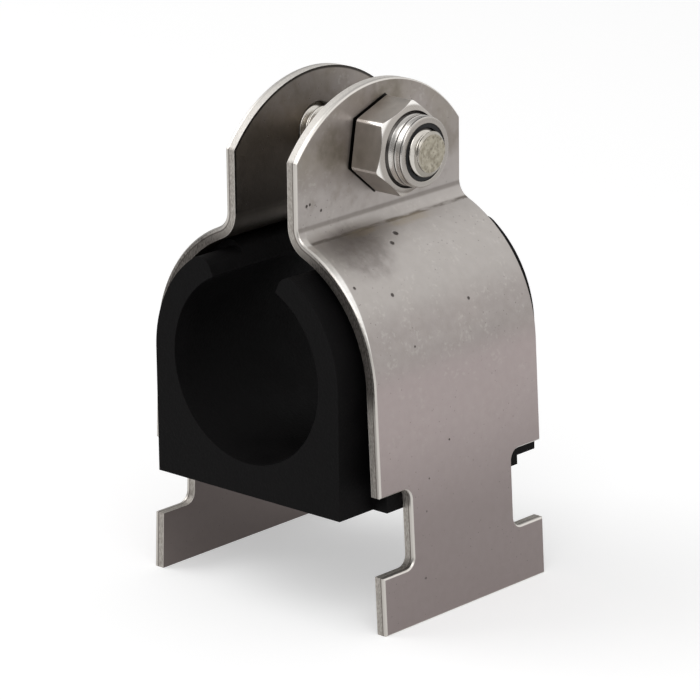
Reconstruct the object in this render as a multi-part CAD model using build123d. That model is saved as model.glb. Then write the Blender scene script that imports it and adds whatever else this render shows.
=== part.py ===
"""Cushion clamp: two pressed straps, joined by one bolt, squeeze a moulded cushion round a tube.

The feet of the straps hook under the lips of a slotted channel, and the cushion stands on its face.
The origin is the centre of the tube bore. +Y runs along the tube, +X points to the nut, +Z to the ears.
"""
import os
from math import asin, cos, degrees, hypot, radians, sin, sqrt, tan

from build123d import *

# Driving dimensions, in millimetres and degrees

# The tube and the channel that the clamp fits
TUBE_DIAMETER = 25.4
CHANNEL_SLOT_WIDTH = 22.2
CHANNEL_LIP_DEPTH = 7.1

# Moulded cushion
CUSHION_END_WALL = 3.4  # round the tube, where the cushion stands out past the straps
CUSHION_BAND_WALL = 5.05  # round the tube, under the straps
CUSHION_FLOOR = 4.4  # below the tube, down to the channel
CUSHION_OVERHANG = 3.5  # past each side of the straps
CUSHION_BAND_INSET = 2.9  # from each side of the straps to the raised band
CUSHION_SPLIT_ANGLE = 51.0  # the opening at the top
CUSHION_TIP_RADIUS = 2.0
CUSHION_EDGE_CHAMFER = 0.4  # round each end

# Pressed straps
GAUGE = 1.6
STRAP_WIDTH = 31.75
STRAP_SEAT_GAP = 0.05  # between the band and the inside of a strap
STRAP_ARC_DROP = 0.8  # the straps' round stretch is centred this far below the tube
LEG_SPLAY = 2.6
EAR_GAP = 9.2  # between the inner faces of the two ears
EAR_BEND_RADIUS = 2.5  # on the outer face
EAR_CROWN = 8.0  # rise of the domed top above its corners
BOLT_ABOVE_BEND = 8.1  # from the bend's centre up to the bolt
EAR_ABOVE_BOLT = 8.3
SHOULDER_CLEARANCE = 3.0  # from the channel's face up to the strap's shoulders
LIP_CLEARANCE = 0.6  # below the channel's lips
NECK_CLEARANCE = 1.15  # in the channel's slot, each side
NOTCH_RADIUS = 1.5
FOOT_HEIGHT = 7.8
EDGE_ROLL = 0.2  # what the shear rolls off along the outer face's edges

# Bolt and lock nut
BOLT_DIAMETER = 6.35
BOLT_HOLE_CLEARANCE = 0.6  # radial, in the ears
BOLT_STICKOUT = 1.1  # past the nut
BOLT_END_CHAMFER = 0.65
HEX_ACROSS_FLATS = 11.11
HEX_CHAMFER_ANGLE = 30.0
WASHER_FACE_HEIGHT = 0.4
WASHER_FACE_INSET = 0.4  # from the hex flats
HEAD_HEIGHT = 4.0
HEAD_FACE_INSET = 0.25  # from the hex flats in to the circle that the chamfer leaves
HEAD_TURN = -13.0  # how far the head stands turned about its axis, from two flats upright
NUT_HEX_HEIGHT = 5.7
NUT_TURN = -10.0  # and the tightened nut
COLLAR_HEIGHT = 2.2
COLLAR_INSET = 0.87  # from the hex flats; the hexagon's chamfer runs in to the collar
COLLAR_WALL = 0.5
COLLAR_SHOULDER_RADIUS = 0.6
RIM_CLEARANCE = 0.6  # radial, between the rolled rim and the bolt
THREAD_CLEARANCE = 0.03  # radial, between the nut and the bolt
THREAD_ENTRY_CHAMFER = 0.4
INSERT_GAP = 0.03  # round the insert in its pocket
INSERT_SEAT_DEPTH = 0.6  # how far the pocket goes down into the hex
INSERT_RECESS = 0.12  # from the rim down to the insert's face

# Sizes that follow

tube_radius = TUBE_DIAMETER / 2
end_radius = tube_radius + CUSHION_END_WALL
band_radius = tube_radius + CUSHION_BAND_WALL
channel_face = -(tube_radius + CUSHION_FLOOR)
cushion_length = STRAP_WIDTH + 2 * CUSHION_OVERHANG
band_length = STRAP_WIDTH - 2 * CUSHION_BAND_INSET

arc_centre = -STRAP_ARC_DROP
inner_radius = band_radius + STRAP_SEAT_GAP
outer_radius = inner_radius + GAUGE
ear_inside = EAR_GAP / 2
ear_outside = ear_inside + GAUGE
bend_x = ear_outside + EAR_BEND_RADIUS
bend_reach = outer_radius + EAR_BEND_RADIUS
bend_angle = degrees(asin(bend_x / bend_reach))  # from upright, where the bend meets the round stretch
bend_z = arc_centre + sqrt(bend_reach**2 - bend_x**2)
bolt_z = bend_z + BOLT_ABOVE_BEND
ear_top = bolt_z + EAR_ABOVE_BOLT
ear_corner = ear_top - EAR_CROWN
shoulder_z = channel_face + SHOULDER_CLEARANCE
foot_top = channel_face - CHANNEL_LIP_DEPTH - LIP_CLEARANCE
foot_bottom = foot_top - FOOT_HEIGHT
neck_width = CHANNEL_SLOT_WIDTH - 2 * NECK_CLEARANCE

bolt_radius = BOLT_DIAMETER / 2
hole_radius = bolt_radius + BOLT_HOLE_CLEARANCE
flat_radius = HEX_ACROSS_FLATS / 2
corner_radius = flat_radius / cos(radians(30))
washer_radius = flat_radius - WASHER_FACE_INSET
head_face_radius = flat_radius - HEAD_FACE_INSET
nut_height = NUT_HEX_HEIGHT + COLLAR_HEIGHT
collar_radius = flat_radius - COLLAR_INSET
rim_radius = bolt_radius + RIM_CLEARANCE
thread_radius = bolt_radius + THREAD_CLEARANCE
pocket_radius = collar_radius - COLLAR_WALL
pocket_bottom = NUT_HEX_HEIGHT - INSERT_SEAT_DEPTH
pocket_top = nut_height - COLLAR_WALL

# The planes of the clamp's two outlines: across the tube, and facing the straps
ACROSS = Plane.XZ
FACING = Plane.YZ


def leg(radius, height, centre=arc_centre, splay=LEG_SPLAY):
    """The straight leg below a round stretch: its first point, and its point at a height."""
    start_x = radius * cos(radians(splay))
    start_z = centre + radius * sin(radians(splay))
    return (start_x, start_z), (start_x + (start_z - height) * tan(radians(splay)), height)


def strap_section():
    """The folded strip, seen along the tube: ear, bend, round stretch and leg."""
    inner_leg = leg(inner_radius, foot_bottom)
    outer_leg = leg(outer_radius, foot_bottom)
    arc_sweep = 90 - bend_angle - LEG_SPLAY
    with BuildSketch(ACROSS) as section:
        with BuildLine():
            Polyline(outer_leg[0], outer_leg[1], inner_leg[1], inner_leg[0])
            CenterArc((0, arc_centre), inner_radius, LEG_SPLAY, arc_sweep)
            CenterArc((bend_x, bend_z), EAR_BEND_RADIUS + GAUGE, 180, 90 - bend_angle)
            Polyline((ear_inside, bend_z), (ear_inside, ear_top), (ear_outside, ear_top), (ear_outside, bend_z))
            CenterArc((bend_x, bend_z), EAR_BEND_RADIUS, 180, 90 - bend_angle)
            CenterArc((0, arc_centre), outer_radius, LEG_SPLAY, arc_sweep)
        make_face()
    return section.sketch


def strap_outline():
    """The strap's outline: domed ear with its hole, straight sides, a notch for each lip, and foot."""
    half = STRAP_WIDTH / 2
    notch_z = (shoulder_z + foot_top) / 2
    with BuildSketch(FACING) as outline:
        with BuildLine():
            Polyline((-half, ear_corner), (-half, foot_bottom), (half, foot_bottom), (half, ear_corner))
            ThreePointArc((half, ear_corner), (0, ear_top), (-half, ear_corner))
        make_face()
        with Locations((-half, notch_z), (half, notch_z)):
            RectangleRounded(STRAP_WIDTH - neck_width, shoulder_z - foot_top, NOTCH_RADIUS, mode=Mode.SUBTRACT)
        with Locations((0, bolt_z)):
            Circle(hole_radius, mode=Mode.SUBTRACT)
    return outline.sketch


def is_outer(point):
    """Whether a point of the strap lies on its outer face."""
    from_bend = hypot(point.X - bend_x, point.Z - bend_z)
    leg_top, leg_side = leg(outer_radius, point.Z)
    if point.Z > bend_z:
        off = point.X - ear_outside
    elif from_bend < EAR_BEND_RADIUS + GAUGE / 2:
        off = from_bend - EAR_BEND_RADIUS
    elif point.Z > leg_top[1]:
        off = hypot(point.X, point.Z - arc_centre) - outer_radius
    else:
        off = point.X - leg_side[0]
    return abs(off) < GAUGE / 10


def strap():
    """One pressed strap, on the nut's side, with the edges of its outer face rolled off by the shear."""
    strip = extrude(strap_section(), STRAP_WIDTH / 2, both=True)
    blank = extrude(strap_outline(), 2 * outer_radius)
    pressing = strip & blank
    outer_edges = [edge for face in pressing.faces() if is_outer(face.center()) for edge in face.edges()]
    sheared = [edge for edge in outer_edges if sum(edge.is_same(other) for other in outer_edges) == 1]
    return chamfer(sheared, EDGE_ROLL)


def cushion_section(radius, centre, splay):
    """The cushion seen along the tube: round above, legs down to the channel, tube bore, and split top."""
    side_top, side_foot = leg(radius, channel_face, centre, splay)
    half_split = radians(CUSHION_SPLIT_ANGLE / 2)
    split_x = 2 * radius * sin(half_split)
    split_z = 2 * radius * cos(half_split)
    with BuildSketch(ACROSS) as section:
        with BuildLine():
            Polyline((-side_top[0], side_top[1]), (-side_foot[0], side_foot[1]), side_foot, side_top)
            ThreePointArc(side_top, (0, centre + radius), (-side_top[0], side_top[1]))
        make_face()
        Circle(tube_radius, mode=Mode.SUBTRACT)
        with BuildLine():
            Polyline((0, 0), (split_x, split_z), (-split_x, split_z), close=True)
        make_face(mode=Mode.SUBTRACT)
        fillet(section.vertices().sort_by(Axis.Y)[-2:], CUSHION_TIP_RADIUS)
    return section.sketch


def cushion():
    """The moulding: a plain ring and foot as long as the cushion, with the straps' raised band about it."""
    ends = extrude(cushion_section(end_radius, 0, 0), cushion_length / 2, both=True)
    band = extrude(cushion_section(band_radius, arc_centre, LEG_SPLAY), band_length / 2, both=True)
    moulding = ends + band
    end_faces = moulding.faces().filter_by(Axis.Y).group_by(Axis.Y)
    return chamfer(end_faces[0].edges() + end_faces[-1].edges(), CUSHION_EDGE_CHAMFER)


def turned(profile):
    """A round solid turned about the bolt's axis, from points given as (place along the axis, radius)."""
    with BuildPart() as solid:
        with BuildSketch(Plane.XY):
            with BuildLine():
                Polyline(*profile, close=True)
            make_face()
        revolve(axis=Axis.X)
    return solid.part


def hexagonal(profile):
    """A hexagonal bar on the bolt's axis, two of its flats facing along Y, turned down to a profile."""
    places = [place for place, _ in profile]
    section = FACING * RegularPolygon(flat_radius, 6, major_radius=False, rotation=90)
    bar = Pos(min(places), 0, 0) * extrude(section, max(places) - min(places))
    return bar & turned(profile)


def chamfer_drop(face_radius):
    """How far the chamfer of a hexagon comes down from the circle on its face to the corners."""
    return (corner_radius - face_radius) * tan(radians(HEX_CHAMFER_ANGLE))


def bolt():
    """Hex head bolt with a washer face, standing on x = 0 with its shank along +X."""
    shank_length = EAR_GAP + 2 * GAUGE + nut_height + BOLT_STICKOUT
    head = hexagonal([
        (-HEAD_HEIGHT, 0),
        (-HEAD_HEIGHT, head_face_radius),
        (chamfer_drop(head_face_radius) - HEAD_HEIGHT, corner_radius),
        (-WASHER_FACE_HEIGHT, corner_radius),
        (-WASHER_FACE_HEIGHT, washer_radius),
        (0, washer_radius),
        (0, 0),
    ])
    stem = turned([
        (-WASHER_FACE_HEIGHT, 0),
        (-WASHER_FACE_HEIGHT, bolt_radius),
        (shank_length - BOLT_END_CHAMFER, bolt_radius),
        (shank_length, bolt_radius - BOLT_END_CHAMFER),
        (shank_length, 0),
    ])
    return head + stem


def lock_nut():
    """Nut standing on x = 0: washer face, hexagon, and a collar rolled in over the insert's pocket."""
    outside = hexagonal([
        (0, 0),
        (0, washer_radius),
        (WASHER_FACE_HEIGHT, washer_radius),
        (WASHER_FACE_HEIGHT, corner_radius),
        (NUT_HEX_HEIGHT - chamfer_drop(collar_radius), corner_radius),
        (NUT_HEX_HEIGHT, collar_radius),
        (nut_height, collar_radius),
        (nut_height, 0),
    ])
    outside = fillet(outside.edges().sort_by(Axis.X)[-1], COLLAR_SHOULDER_RADIUS)
    hollow = turned([
        (0, 0),
        (0, thread_radius + THREAD_ENTRY_CHAMFER),
        (THREAD_ENTRY_CHAMFER, thread_radius),
        (pocket_bottom, thread_radius),
        (pocket_bottom, pocket_radius),
        (pocket_top, pocket_radius),
        (pocket_top, rim_radius),
        (nut_height, rim_radius),
        (nut_height, 0),
    ])
    return outside - hollow


def lock_nut_insert():
    """The plastic ring in the nut's pocket, which grips the bolt and fills the opening in the rim."""
    return turned([
        (pocket_bottom + INSERT_GAP, thread_radius),
        (pocket_bottom + INSERT_GAP, pocket_radius - INSERT_GAP),
        (pocket_top - INSERT_GAP, pocket_radius - INSERT_GAP),
        (pocket_top - INSERT_GAP, rim_radius - INSERT_GAP),
        (nut_height - INSERT_RECESS, rim_radius - INSERT_GAP),
        (nut_height - INSERT_RECESS, thread_radius),
    ])


on_nut_ear = Pos(ear_outside, 0, bolt_z) * Rot(NUT_TURN, 0, 0)
nodes = {
    "strap_nut_side": strap(),
    "strap_head_side": Rot(0, 0, 180) * strap(),
    "cushion": cushion(),
    "bolt": Pos(-ear_outside, 0, bolt_z) * Rot(HEAD_TURN, 0, 0) * bolt(),
    "lock_nut": on_nut_ear * lock_nut(),
    "lock_nut_insert": on_nut_ear * lock_nut_insert(),
}

os.makedirs("parts", exist_ok=True)
for name, node in nodes.items():
    export_step(node, f"parts/{name}.step")
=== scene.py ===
from math import atan, atan2, ceil, cos, floor, pi, radians, sin, sqrt, tan

import bmesh
import bpy
from mathutils import Matrix, Vector


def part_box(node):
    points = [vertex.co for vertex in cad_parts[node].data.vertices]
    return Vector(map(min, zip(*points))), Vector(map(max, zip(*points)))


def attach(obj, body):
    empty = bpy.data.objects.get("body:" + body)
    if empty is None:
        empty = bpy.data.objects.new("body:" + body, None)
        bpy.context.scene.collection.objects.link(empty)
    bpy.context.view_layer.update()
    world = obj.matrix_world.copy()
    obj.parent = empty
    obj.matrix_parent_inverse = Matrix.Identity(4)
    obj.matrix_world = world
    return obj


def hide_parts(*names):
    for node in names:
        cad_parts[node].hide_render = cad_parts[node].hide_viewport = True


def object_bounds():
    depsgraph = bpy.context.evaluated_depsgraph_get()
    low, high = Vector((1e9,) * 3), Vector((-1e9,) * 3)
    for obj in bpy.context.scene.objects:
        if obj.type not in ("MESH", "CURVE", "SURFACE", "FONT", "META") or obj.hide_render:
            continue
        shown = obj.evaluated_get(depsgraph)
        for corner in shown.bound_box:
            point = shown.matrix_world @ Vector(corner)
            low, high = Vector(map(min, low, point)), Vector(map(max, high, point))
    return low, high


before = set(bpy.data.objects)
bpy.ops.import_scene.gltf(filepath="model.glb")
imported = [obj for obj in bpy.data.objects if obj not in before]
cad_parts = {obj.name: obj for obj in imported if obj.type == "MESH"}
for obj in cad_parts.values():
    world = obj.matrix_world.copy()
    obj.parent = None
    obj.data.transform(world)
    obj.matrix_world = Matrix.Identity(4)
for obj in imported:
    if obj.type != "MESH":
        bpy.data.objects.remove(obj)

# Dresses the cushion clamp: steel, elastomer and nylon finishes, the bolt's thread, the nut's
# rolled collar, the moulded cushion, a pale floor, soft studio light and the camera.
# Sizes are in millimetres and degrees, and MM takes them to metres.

MM = 0.001
MERGE = 1e-8  # in metres: points nearer than this are one point
MOULD_MERGE = 1e-6  # the same for the cushion
SLACK = 1e-9  # for comparing two sizes

# Where the frame has the object, in metres, and its pieces, in millimetres

solid_low, solid_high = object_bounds()
strap_low, strap_high = (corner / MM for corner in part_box("strap_nut_side"))
nut_low, nut_high = (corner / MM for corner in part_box("lock_nut"))
bolt_low, bolt_high = (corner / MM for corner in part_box("bolt"))
bolt_z = (bolt_low.z + bolt_high.z) / 2
nut_height = nut_high.x - nut_low.x
cushion_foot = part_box("cushion")[0].z / MM
cushion_half_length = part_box("cushion")[1].y / MM

# The straps, as their solids have them

GAUGE = 1.6
HALF_WIDTH = 15.875
EAR_CROWN = 8.0  # rise of the domed top above its corners
ARC_CENTRE = -0.8
ARC_INNER_RADIUS = 17.8
LEG_SPLAY = 2.6
BEND_RADIUS = 2.5
BEND_X = 8.7
BEND_Z = 19.3

# The cushion

TUBE_RADIUS = 12.7
END_RADIUS = 16.1
BAND_RADIUS = 17.75
BAND_HALF_LENGTH = 12.975
SPLIT_ANGLE = 51.0
TIP_RADIUS = 2.0
MOULD_EDGE = 0.4  # rounding of the moulding's edges

# Bolt and lock nut

HEX_FLAT_RADIUS = 5.555
HEX_CHAMFER = 30.0
HEX_CORNER_ROUND = 0.8
CORNER_ROUND_REACH = (HEX_FLAT_RADIUS - HEX_CORNER_ROUND) / cos(radians(30))  # to the rounding's middle
WASHER_FACE_RADIUS = 5.155
WASHER_FACE_HEIGHT = 0.4
HEAD_FACE_RADIUS = 5.305
HEAD_HEIGHT = 4.0
HEAD_TURN = -13.0
NUT_HEX_HEIGHT = 5.7
NUT_TURN = -10.0
COLLAR_RADIUS = 4.685
COLLAR_SHOULDER = 0.28
COLLAR_WALL = 0.5
GROOVE_WIDTH = 0.38  # round the collar's foot
GROOVE_DEPTH = 0.4
ROLL_LINE_HEIGHT = 0.92  # up the collar to the line where the rolling tool took hold
ROLL_LINE_DEPTH = 0.1
ROLL_STEP = 0.06  # how far the collar steps in there
RIM_RADIUS = 3.775
POCKET_RADIUS = 4.185
POCKET_DEPTH = 0.6  # into the hexagon
THREAD_RADIUS = 3.175
THREAD_CLEARANCE = 0.03
THREAD_ENTRY = 0.4
THREAD_PITCH = 1.27
THREAD_DEPTH = 0.74
THREAD_CREST_HALF = 0.07  # half of the crest's width, in turns
THREAD_FLANK = 0.33  # width of a flank, in turns
TIP_CHAMFER = 0.65
EDGE_ROUND = 0.12  # on machined edges

# How finely the meshes are drawn, in steps

FLAT_STEPS = 14  # across a flat of a hexagon
CORNER_STEPS = 6  # round a corner of it
ROUNDING_STEPS = 5  # round an edge
THREAD_COLUMNS = 72  # round the thread
THREAD_ROWS = 20  # along one turn of it
OUTSIDE_STEPS = 28  # up one side of the cushion
TIP_STEPS = 8  # round a tip of it
BORE_STEPS = 30  # down one side of its bore
MOULD_EDGE_STEPS = 4  # round its edges

# Marks on the straps: pits and stains with their radii, a painted dark reflection of the nut on the arc,
# and the two lines that the bending tool left

STRAP_PITS = (
    (9.6, -0.9, 16.1, 0.5),
    (10.7, -2.8, 15.4, 0.42),
    (15.7, -8.4, 10.6, 0.36),
    (17.5, 4.4, 7.6, 0.3),
    (14.2, -13.9, 12.5, 0.3),
    (6.2, -14.0, 21.8, 0.28),
    (6.2, -13.4, 21.9, 0.24),
    (6.2, -11.3, 20.7, 0.25),
)
# painted reflection: where the nut shows dark in the arc
NUT_REFLECTION_PLACE = (10.6, -8.5, 15.6)
NUT_REFLECTION_RADIUS = 6.0
EAR_STAINS = ((6.2, -9.1, 28.3, 3.8), (6.2, 1.3, 34.0, 4.0))
# the bright strip is partly burnished steel and partly a painted highlight
HIGHLIGHT_STRIP_WIDTHS = (0.2, 1.45)  # of the bright strip along one side edge, at its foot and below the bend
BEND_LINE_HIGH = 18.85  # height of the upper line
BEND_LINE_LOW = 7.5  # how far out the lower line is

# Colours of the fasteners, the cushion and the insert. A pair also says how strongly its colour is laid
# over what is under it.

NUT_BRIGHT = (0.74, 0.72, 0.69)
NUT_DULL = (0.50, 0.46, 0.42)
BOLT_BRIGHT = (0.70, 0.67, 0.62)
BOLT_DULL = (0.44, 0.41, 0.36)
# painted shade in the fasteners' crevices and in the nut's recess
CREVICE_SHADE = ((0.025, 0.021, 0.018), 0.92)
CROPPED_LIGHT = (0.54, 0.50, 0.41)
CROPPED_DARK = (0.30, 0.27, 0.21)
CROPPED_PORE = ((0.13, 0.11, 0.085), 0.45)
RUBBER_GREY = (0.0062, 0.0058, 0.0060)
RUBBER_BLACK = (0.0040, 0.0038, 0.0040)
RUBBER_DUST = ((0.03, 0.028, 0.026), 0.3)
NYLON_GREY = (0.010, 0.010, 0.011)
NYLON_BLACK = (0.006, 0.006, 0.007)

# Roughness of a fastener's rolled flats, of its turned faces and of the cropped end, and how matt the
# elastomer and the nylon are

FLAT_ROUGHNESS = 0.34
TURNED_ROUGHNESS = 0.2
CROPPED_ROUGHNESS = 0.45
RUBBER_ROUGHNESS = 0.46
RUBBER_SPECULAR = 0.06
NYLON_ROUGHNESS = 0.42
NYLON_SPECULAR = 0.3

# Brightness of a fastener's clouds, its grain, the painted shade on its end faces and its corners' wear
# with a painted glint, against the steel's own, how many rings the turning left in a millimetre, and the
# depth of the finishes' relief

CLOUDED = 0.82
GRAINED = 0.7
# painted shade on the end faces
END_FACE_SHADE = 0.75
# partly wear, partly a painted glint on the corners
WEAR_AND_GLINT = 1.25
TURNING_RINGS = 3.2
RELIEF_DEPTH = 0.02

# A mix node's sockets for the colours where its mask is 0 and where it is 1, and the one it gives

MIX_ELSEWHERE = 6
MIX_THERE = 7
MIX_RESULT = 2

# Camera, lights and floor

CAMERA_PLACE = (385.37, -422.70, 176.54)
CAMERA_AIM = (0.7, -0.1, -1.75)
CAMERA_ROLL = -0.69
CAMERA_LENS = 233.7
SENSOR_WIDTH = 36.0
FLOOR_HALF = 4000.0
LAMP_DISTANCE = 900.0
LAMP_SIZE = 600.0
KEY_SIDE = (-0.63, -0.32, 0.71)
KEY_BRIGHTNESS = 2.2
FRONT_SIDE = (0.50, -0.50, 0.70)
FRONT_BRIGHTNESS = 2.0
SOFT_LIGHT = 0.5  # from all round
BACKDROP_SIDE = (0.766, 0.643)
DIM_WALL = 0.3
CEILING_GLOW = 0.3
PAPER_GREY = 0.72
PAPER_ROUGHNESS = 0.9
PAPER_SPECULAR = 0.1
FLOOR_GLOW = 0.43
FLOOR_GLOW_IN_METAL = 0.27


def place(point):
    """A point given in millimetres, as a vector in metres."""
    return Vector(point) * MM


# Finishes: arithmetic on values that vary over a surface, and the materials made with it


class Field:
    """A number that varies over a surface. Arithmetic on it adds math nodes to its tree."""

    def __init__(self, tree, socket):
        self.tree = tree
        self.socket = socket

    def math(self, operation, *values):
        node = self.tree.nodes.new("ShaderNodeMath")
        node.operation = operation
        for entry, value in zip(node.inputs, values):
            if isinstance(value, Field):
                self.tree.links.new(value.socket, entry)
            else:
                entry.default_value = value
        return Field(self.tree, node.outputs[0])

    def __add__(self, other):
        return self.math("ADD", self, other)

    def __radd__(self, other):
        return self.math("ADD", other, self)

    def __sub__(self, other):
        return self.math("SUBTRACT", self, other)

    def __rsub__(self, other):
        return self.math("SUBTRACT", other, self)

    def __mul__(self, other):
        return self.math("MULTIPLY", self, other)

    def __rmul__(self, other):
        return self.math("MULTIPLY", other, self)

    def __truediv__(self, other):
        return self.math("DIVIDE", self, other)

    def __gt__(self, other):
        return self.math("GREATER_THAN", self, other)

    def __lt__(self, other):
        return self.math("LESS_THAN", self, other)

    def __abs__(self):
        return self.math("ABSOLUTE", self)

    def sign(self):
        return self.math("SIGN", self)

    def root(self):
        return self.math("SQRT", self)

    def most(self, other):
        return self.math("MAXIMUM", self, other)

    def least(self, other):
        return self.math("MINIMUM", self, other)

    def ramp(self, low, high, start=0.0, end=1.0):
        """Goes smoothly from start to end as this goes from low to high."""
        node = self.tree.nodes.new("ShaderNodeMapRange")
        node.interpolation_type = "SMOOTHSTEP"
        self.tree.links.new(self.socket, node.inputs["Value"])
        for name, value in (("From Min", low), ("From Max", high), ("To Min", start), ("To Max", end)):
            node.inputs[name].default_value = value
        return Field(self.tree, node.outputs["Result"])

    def fade(self, low, high):
        """1 up to low, and 0 from high on."""
        return self.ramp(low, high, 1.0, 0.0)

    def within(self, low, high, soft):
        """1 from low to high, and 0 further off than soft."""
        return self.ramp(low - soft, low) * self.fade(high, high + soft)


def length_of(first, second):
    return (first * first + second * second).root()


def choose(mask, there, elsewhere):
    """The one value where the mask is 1, and the other where it is 0."""
    return mask * there + (1.0 - mask) * elsewhere


class Finish:
    """A material under construction, with the place and facing of each point of its surface."""

    def __init__(self, name, metallic=0.0, specular=0.5):
        self.material = bpy.data.materials.new(name)
        self.material.use_nodes = True
        self.tree = self.material.node_tree
        self.shader = self.tree.nodes["Principled BSDF"]
        self.shader.inputs["Metallic"].default_value = metallic
        self.shader.inputs["Specular IOR Level"].default_value = specular
        geometry = self.tree.nodes.new("ShaderNodeNewGeometry")
        self.position = self.tree.nodes.new("ShaderNodeVectorMath")
        self.position.operation = "SCALE"
        self.position.inputs["Scale"].default_value = 1 / MM
        self.tree.links.new(geometry.outputs["Position"], self.position.inputs[0])
        self.x, self.y, self.z = self.parts(self.position.outputs[0])
        self.facing_x, self.facing_y, self.facing_z = self.parts(geometry.outputs["True Normal"])

    def parts(self, vector):
        """The three numbers in a vector."""
        node = self.tree.nodes.new("ShaderNodeSeparateXYZ")
        self.tree.links.new(vector, node.inputs[0])
        return [Field(self.tree, socket) for socket in node.outputs]

    def place_in_marks(self, size, stretch=(1.0, 1.0, 1.0), shift=0.0):
        """The place of each point, counted in marks of a size in millimetres, for a texture to read."""
        scaled = self.tree.nodes.new("ShaderNodeVectorMath")
        scaled.operation = "MULTIPLY_ADD"
        scaled.inputs[1].default_value = [1 / (size * part) for part in stretch]
        scaled.inputs[2].default_value = (shift, shift, shift)
        self.tree.links.new(self.position.outputs[0], scaled.inputs[0])
        return scaled.outputs[0]

    def noise(self, size, detail=3.0, stretch=(1.0, 1.0, 1.0), shift=0.0, contrast=0.5):
        """Noise from 0 to 1 whose marks are about size millimetres across, drawn out by stretch."""
        node = self.tree.nodes.new("ShaderNodeTexNoise")
        node.inputs["Scale"].default_value = 1.0
        node.inputs["Detail"].default_value = detail
        self.tree.links.new(self.place_in_marks(size, stretch, shift), node.inputs["Vector"])
        return Field(self.tree, node.outputs["Fac"]).ramp(0.5 - contrast / 2, 0.5 + contrast / 2)

    def spots(self, size, share, shift=0.0):
        """Scattered round spots, 1 at their middles, in cells about size millimetres across."""
        node = self.tree.nodes.new("ShaderNodeTexVoronoi")
        node.inputs["Scale"].default_value = 1.0
        self.tree.links.new(self.place_in_marks(size, shift=shift), node.inputs["Vector"])
        return Field(self.tree, node.outputs["Distance"]).fade(share / 2, share)

    def near(self, point, radius):
        """1 at a point and 0 further from it than the radius."""
        x, y, z = point
        across = self.x - x
        along = self.y - y
        up = self.z - z
        return (across * across + along * along + up * up).root().fade(radius / 2, radius)

    def blend(self, mask, there, elsewhere):
        """A colour that is the first where the mask is 1. Each is a colour, or one made by blend."""
        node = self.tree.nodes.new("ShaderNodeMix")
        node.data_type = "RGBA"
        node.clamp_factor = True
        self.tree.links.new(mask.socket, node.inputs["Factor"])
        for index, colour in ((MIX_THERE, there), (MIX_ELSEWHERE, elsewhere)):
            if isinstance(colour, tuple):
                node.inputs[index].default_value = (*colour, 1.0)
            else:
                self.tree.links.new(colour, node.inputs[index])
        return node.outputs[MIX_RESULT]

    def lay(self, pair, mask, under):
        """Lays a colour of a given strength over another where the mask is 1."""
        colour, strength = pair
        return self.blend(mask * strength, colour, under)

    def colour(self, socket):
        self.tree.links.new(socket, self.shader.inputs["Base Color"])

    def roughness(self, field):
        self.tree.links.new(field.socket, self.shader.inputs["Roughness"])

    def relief(self, height, depth, edge=None):
        """Bumps the surface by a height field times a depth in millimetres. edge is a field that says
        how far its edges are rounded off."""
        bump = self.tree.nodes.new("ShaderNodeBump")
        bump.inputs["Strength"].default_value = 1.0
        bump.inputs["Distance"].default_value = depth * MM
        self.tree.links.new(height.socket, bump.inputs["Height"])
        if edge is not None:
            soft = self.tree.nodes.new("ShaderNodeBevel")
            soft.samples = 8
            self.tree.links.new((edge * MM).socket, soft.inputs["Radius"])
            self.tree.links.new(soft.outputs[0], bump.inputs["Normal"])
        self.tree.links.new(bump.outputs[0], self.shader.inputs["Normal"])


def hex_reach(finish, turn):
    """How far a point is from the bolt's axis, across the nearest flat of a turned hexagon."""
    up = finish.z - bolt_z
    across = []
    for step in range(3):
        angle = radians(turn + 60 * step)
        across.append(abs(finish.y * cos(angle) + up * sin(angle)))
    return across[0].most(across[1]).most(across[2])


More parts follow.
